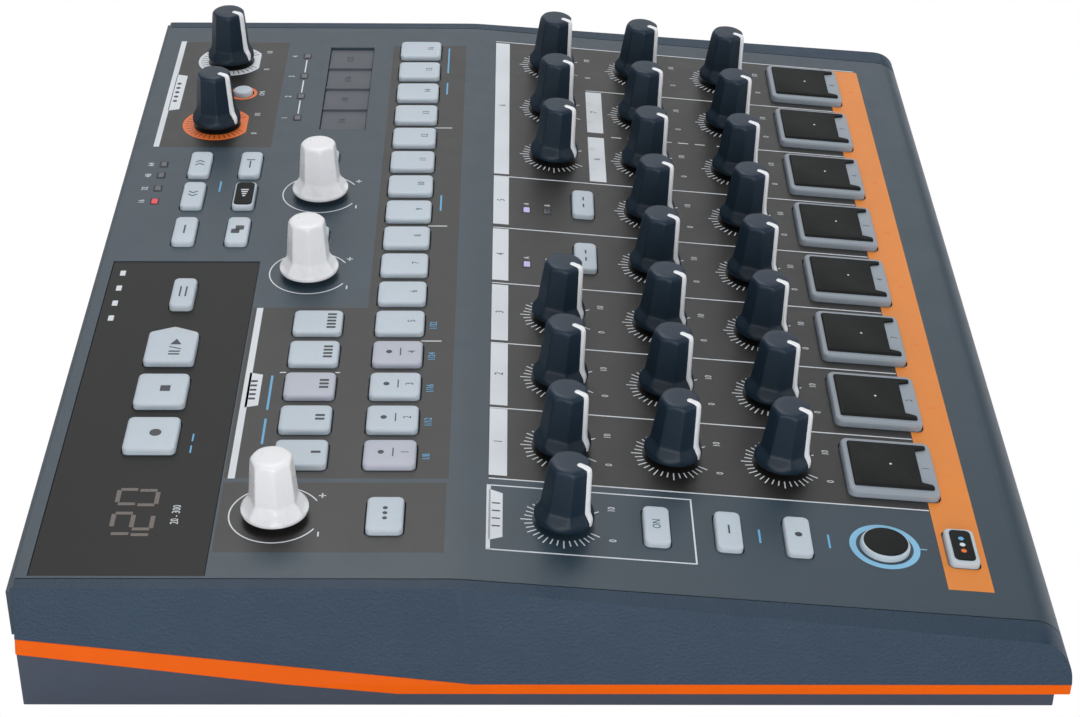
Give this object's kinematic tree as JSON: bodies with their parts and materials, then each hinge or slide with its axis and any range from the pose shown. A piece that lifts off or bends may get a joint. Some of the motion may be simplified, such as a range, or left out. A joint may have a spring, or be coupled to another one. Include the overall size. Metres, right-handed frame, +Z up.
{
  "type": "drum machine",
  "caption": "Desktop drum machine: flat rear half, sloping front half, faceted knobs, soft keys, velocity pads, display window, touch strip and rear sockets.",
  "frame": {"origin": "centre of the overall box in plan, on the plane that the feet stand on", "axes": "+X to the player's right along the long side, +Y towards the rear sockets, +Z up"},
  "size_m": [0.316, 0.245, 0.053],
  "materials": {
    "casing": "satin slate blue grey",
    "cheek": "fine textured slate blue",
    "tray": "fine textured dark slate",
    "trim": "orange",
    "window": "glossy black",
    "strip": "smooth dark",
    "knob_dark": "dark blue, matt",
    "knob_white": "white, satin",
    "pad_rubber": "matt",
    "key_rubber": "pale blue grey, translucent",
    "key_dark": "matt",
    "board": "circuit board green",
    "metal": "satin",
    "plate": "matt black",
    "socket": "black",
    "foot": "matt",
    "screw": "dark zinc"
  },
  "bodies": {
    "case": {"bottom_tray": "tray", "case_screws": "screw", "circuit_boards": "board", "control_pots": "metal", "display_window": "window", "left_cheek": "cheek", "rear_panel": "plate", "rear_sockets": "socket", "right_cheek": "cheek", "rubber_feet": "foot", "top_casing": "casing", "touch_strip": "strip", "trim_band": "trim"},
    "metronome_volume": {"metronome_volume_knob": "knob_dark"},
    "kick_shape": {"kick_shape_knob": "knob_dark"},
    "kick_tone": {"kick_tone_knob": "knob_dark"},
    "kick_level": {"kick_level_knob": "knob_dark"},
    "snare_1_shape": {"snare_1_shape_knob": "knob_dark"},
    "snare_1_tone": {"snare_1_tone_knob": "knob_dark"},
    "snare_1_level": {"snare_1_level_knob": "knob_dark"},
    "snare_2_shape": {"snare_2_shape_knob": "knob_dark"},
    "snare_2_tone": {"snare_2_tone_knob": "knob_dark"},
    "snare_2_level": {"snare_2_level_knob": "knob_dark"},
    "tom_tone": {"tom_tone_knob": "knob_dark"},
    "tom_level": {"tom_level_knob": "knob_dark"},
    "cymbal_tone": {"cymbal_tone_knob": "knob_dark"},
    "cymbal_level": {"cymbal_level_knob": "knob_dark"},
    "closed_hat_shape": {"closed_hat_shape_knob": "knob_dark"},
    "closed_hat_tone": {"closed_hat_tone_knob": "knob_dark"},
    "closed_hat_level": {"closed_hat_level_knob": "knob_dark"},
    "open_hat_shape": {"open_hat_shape_knob": "knob_dark"},
    "open_hat_tone": {"open_hat_tone_knob": "knob_dark"},
    "open_hat_level": {"open_hat_level_knob": "knob_dark"},
    "fm_shape": {"fm_shape_knob": "knob_dark"},
    "fm_tone": {"fm_tone_knob": "knob_dark"},
    "fm_level": {"fm_level_knob": "knob_dark"},
    "distortion": {"distortion_knob": "knob_dark"},
    "master_volume": {"master_volume_knob": "knob_dark"},
    "rate_encoder": {"rate_encoder_knob": "knob_white"},
    "swing_encoder": {"swing_encoder_knob": "knob_white"},
    "random_encoder": {"random_encoder_knob": "knob_white"},
    "pad_1": {"pad_1": "pad_rubber"},
    "pad_2": {"pad_2": "pad_rubber"},
    "pad_3": {"pad_3": "pad_rubber"},
    "pad_4": {"pad_4": "pad_rubber"},
    "pad_5": {"pad_5": "pad_rubber"},
    "pad_6": {"pad_6": "pad_rubber"},
    "pad_7": {"pad_7": "pad_rubber"},
    "pad_8": {"pad_8": "pad_rubber"},
    "step_keys_1_8": {"step_keys_1_8": "key_rubber"},
    "step_keys_9_16": {"step_keys_9_16": "key_rubber"},
    "mode_keys": {"mode_keys": "key_rubber"},
    "transport_keys": {"transport_keys": "key_rubber"},
    "edit_keys": {"edit_keys": "key_rubber"},
    "tap_and_track_keys": {"tap_and_track_keys": "key_rubber"},
    "type_keys": {"type_keys": "key_rubber"},
    "function_keys": {"function_keys": "key_rubber"},
    "shift_key": {"shift_key": "key_dark"},
    "color_key": {"color_key": "key_dark"},
    "power_button": {"power_button": "socket"}
  },
  "joints": [
    {"name": "metronome_volume_turn", "type": "hinge", "parent": "case", "child": "metronome_volume", "pos_m": [-0.1217, -0.0052, 0.03274], "axis": [0, 0.0895, -0.996], "range_deg": [0, 300]},
    {"name": "kick_shape_turn", "type": "hinge", "parent": "case", "child": "kick_shape", "pos_m": [-0.091, -0.0052, 0.03274], "axis": [0, 0.0895, -0.996], "range_deg": [0, 300]},
    {"name": "kick_tone_turn", "type": "hinge", "parent": "case", "child": "kick_tone", "pos_m": [-0.091, -0.0329, 0.03025], "axis": [0, 0.0895, -0.996], "range_deg": [0, 300]},
    {"name": "kick_level_turn", "type": "hinge", "parent": "case", "child": "kick_level", "pos_m": [-0.091, -0.0606, 0.02776], "axis": [0, 0.0895, -0.996], "range_deg": [0, 300]},
    {"name": "snare_1_shape_turn", "type": "hinge", "parent": "case", "child": "snare_1_shape", "pos_m": [-0.0605, -0.0052, 0.03274], "axis": [0, 0.0895, -0.996], "range_deg": [0, 300]},
    {"name": "snare_1_tone_turn", "type": "hinge", "parent": "case", "child": "snare_1_tone", "pos_m": [-0.0605, -0.0329, 0.03025], "axis": [0, 0.0895, -0.996], "range_deg": [0, 300]},
    {"name": "snare_1_level_turn", "type": "hinge", "parent": "case", "child": "snare_1_level", "pos_m": [-0.0605, -0.0606, 0.02776], "axis": [0, 0.0895, -0.996], "range_deg": [0, 300]},
    {"name": "snare_2_shape_turn", "type": "hinge", "parent": "case", "child": "snare_2_shape", "pos_m": [-0.03, -0.0052, 0.03274], "axis": [0, 0.0895, -0.996], "range_deg": [0, 300]},
    {"name": "snare_2_tone_turn", "type": "hinge", "parent": "case", "child": "snare_2_tone", "pos_m": [-0.03, -0.0329, 0.03025], "axis": [0, 0.0895, -0.996], "range_deg": [0, 300]},
    {"name": "snare_2_level_turn", "type": "hinge", "parent": "case", "child": "snare_2_level", "pos_m": [-0.03, -0.0606, 0.02776], "axis": [0, 0.0895, -0.996], "range_deg": [0, 300]},
    {"name": "tom_tone_turn", "type": "hinge", "parent": "case", "child": "tom_tone", "pos_m": [0.0005, -0.0329, 0.03025], "axis": [0, 0.0895, -0.996], "range_deg": [0, 300]},
    {"name": "tom_level_turn", "type": "hinge", "parent": "case", "child": "tom_level", "pos_m": [0.0005, -0.0606, 0.02776], "axis": [0, 0.0895, -0.996], "range_deg": [0, 300]},
    {"name": "cymbal_tone_turn", "type": "hinge", "parent": "case", "child": "cymbal_tone", "pos_m": [0.031, -0.0329, 0.03025], "axis": [0, 0.0895, -0.996], "range_deg": [0, 300]},
    {"name": "cymbal_level_turn", "type": "hinge", "parent": "case", "child": "cymbal_level", "pos_m": [0.031, -0.0606, 0.02776], "axis": [0, 0.0895, -0.996], "range_deg": [0, 300]},
    {"name": "closed_hat_shape_turn", "type": "hinge", "parent": "case", "child": "closed_hat_shape", "pos_m": [0.0615, -0.0052, 0.03274], "axis": [0, 0.0895, -0.996], "range_deg": [0, 300]},
    {"name": "closed_hat_tone_turn", "type": "hinge", "parent": "case", "child": "closed_hat_tone", "pos_m": [0.0615, -0.0329, 0.03025], "axis": [0, 0.0895, -0.996], "range_deg": [0, 300]},
    {"name": "closed_hat_level_turn", "type": "hinge", "parent": "case", "child": "closed_hat_level", "pos_m": [0.0615, -0.0606, 0.02776], "axis": [0, 0.0895, -0.996], "range_deg": [0, 300]},
    {"name": "open_hat_shape_turn", "type": "hinge", "parent": "case", "child": "open_hat_shape", "pos_m": [0.092, -0.0052, 0.03274], "axis": [0, 0.0895, -0.996], "range_deg": [0, 300]},
    {"name": "open_hat_tone_turn", "type": "hinge", "parent": "case", "child": "open_hat_tone", "pos_m": [0.092, -0.0329, 0.03025], "axis": [0, 0.0895, -0.996], "range_deg": [0, 300]},
    {"name": "open_hat_level_turn", "type": "hinge", "parent": "case", "child": "open_hat_level", "pos_m": [0.092, -0.0606, 0.02776], "axis": [0, 0.0895, -0.996], "range_deg": [0, 300]},
    {"name": "fm_shape_turn", "type": "hinge", "parent": "case", "child": "fm_shape", "pos_m": [0.1225, -0.0052, 0.03274], "axis": [0, 0.0895, -0.996], "range_deg": [0, 300]},
    {"name": "fm_tone_turn", "type": "hinge", "parent": "case", "child": "fm_tone", "pos_m": [0.1225, -0.0329, 0.03025], "axis": [0, 0.0895, -0.996], "range_deg": [0, 300]},
    {"name": "fm_level_turn", "type": "hinge", "parent": "case", "child": "fm_level", "pos_m": [0.1225, -0.0606, 0.02776], "axis": [0, 0.0895, -0.996], "range_deg": [0, 300]},
    {"name": "distortion_turn", "type": "hinge", "parent": "case", "child": "distortion", "pos_m": [0.0774, 0.0983, 0.035], "axis": [0, 0, -1], "range_deg": [0, 300]},
    {"name": "master_volume_turn", "type": "hinge", "parent": "case", "child": "master_volume", "pos_m": [0.1213, 0.0983, 0.035], "axis": [0, 0, -1], "range_deg": [0, 300]},
    {"name": "rate_encoder_turn", "type": "hinge", "parent": "case", "child": "rate_encoder", "pos_m": [-0.122, 0.0634, 0.035], "axis": [0, 0, -1], "continuous": true},
    {"name": "swing_encoder_turn", "type": "hinge", "parent": "case", "child": "swing_encoder", "pos_m": [-0.011, 0.0634, 0.035], "axis": [0, 0, -1], "continuous": true},
    {"name": "random_encoder_turn", "type": "hinge", "parent": "case", "child": "random_encoder", "pos_m": [0.0337, 0.0634, 0.035], "axis": [0, 0, -1], "continuous": true},
    {"name": "pad_1_press", "type": "slide", "parent": "case", "child": "pad_1", "axis": [0, 0.0895, -0.996], "range_m": [0, 0.0008], "stiffness_N_per_m": 2500, "springref_m": -0.0002},
    {"name": "pad_2_press", "type": "slide", "parent": "case", "child": "pad_2", "axis": [0, 0.0895, -0.996], "range_m": [0, 0.0008], "stiffness_N_per_m": 2500, "springref_m": -0.0002},
    {"name": "pad_3_press", "type": "slide", "parent": "case", "child": "pad_3", "axis": [0, 0.0895, -0.996], "range_m": [0, 0.0008], "stiffness_N_per_m": 2500, "springref_m": -0.0002},
    {"name": "pad_4_press", "type": "slide", "parent": "case", "child": "pad_4", "axis": [0, 0.0895, -0.996], "range_m": [0, 0.0008], "stiffness_N_per_m": 2500, "springref_m": -0.0002},
    {"name": "pad_5_press", "type": "slide", "parent": "case", "child": "pad_5", "axis": [0, 0.0895, -0.996], "range_m": [0, 0.0008], "stiffness_N_per_m": 2500, "springref_m": -0.0002},
    {"name": "pad_6_press", "type": "slide", "parent": "case", "child": "pad_6", "axis": [0, 0.0895, -0.996], "range_m": [0, 0.0008], "stiffness_N_per_m": 2500, "springref_m": -0.0002},
    {"name": "pad_7_press", "type": "slide", "parent": "case", "child": "pad_7", "axis": [0, 0.0895, -0.996], "range_m": [0, 0.0008], "stiffness_N_per_m": 2500, "springref_m": -0.0002},
    {"name": "pad_8_press", "type": "slide", "parent": "case", "child": "pad_8", "axis": [0, 0.0895, -0.996], "range_m": [0, 0.0008], "stiffness_N_per_m": 2500, "springref_m": -0.0002},
    {"name": "step_keys_1_8_press", "type": "slide", "parent": "case", "child": "step_keys_1_8", "axis": [0, 0, -1], "range_m": [0, 0.001], "stiffness_N_per_m": 1500, "springref_m": -0.0003},
    {"name": "step_keys_9_16_press", "type": "slide", "parent": "case", "child": "step_keys_9_16", "axis": [0, 0, -1], "range_m": [0, 0.001], "stiffness_N_per_m": 1500, "springref_m": -0.0003},
    {"name": "mode_keys_press", "type": "slide", "parent": "case", "child": "mode_keys", "axis": [0, 0, -1], "range_m": [0, 0.001], "stiffness_N_per_m": 1500, "springref_m": -0.0003},
    {"name": "transport_keys_press", "type": "slide", "parent": "case", "child": "transport_keys", "axis": [0, 0, -1], "range_m": [0, 0.001], "stiffness_N_per_m": 1500, "springref_m": -0.0003},
    {"name": "edit_keys_press", "type": "slide", "parent": "case", "child": "edit_keys", "axis": [0, 0, -1], "range_m": [0, 0.001], "stiffness_N_per_m": 1500, "springref_m": -0.0003},
    {"name": "tap_and_track_keys_press", "type": "slide", "parent": "case", "child": "tap_and_track_keys", "axis": [0, 0, -1], "range_m": [0, 0.001], "stiffness_N_per_m": 1500, "springref_m": -0.0003},
    {"name": "type_keys_press", "type": "slide", "parent": "case", "child": "type_keys", "axis": [0, 0.0895, -0.996], "range_m": [0, 0.001], "stiffness_N_per_m": 1500, "springref_m": -0.0003},
    {"name": "function_keys_press", "type": "slide", "parent": "case", "child": "function_keys", "axis": [0, 0.0895, -0.996], "range_m": [0, 0.001], "stiffness_N_per_m": 1500, "springref_m": -0.0003},
    {"name": "shift_key_press", "type": "slide", "parent": "case", "child": "shift_key", "axis": [0, 0.0895, -0.996], "range_m": [0, 0.001], "stiffness_N_per_m": 1500, "springref_m": -0.0003},
    {"name": "color_key_press", "type": "slide", "parent": "case", "child": "color_key", "axis": [0, 0.0895, -0.996], "range_m": [0, 0.001], "stiffness_N_per_m": 1500, "springref_m": -0.0003},
    {"name": "power_button_press", "type": "slide", "parent": "case", "child": "power_button", "axis": [0, -1, 0], "range_m": [0, 0.002], "stiffness_N_per_m": 400, "springref_m": -0.0008}
  ]
}
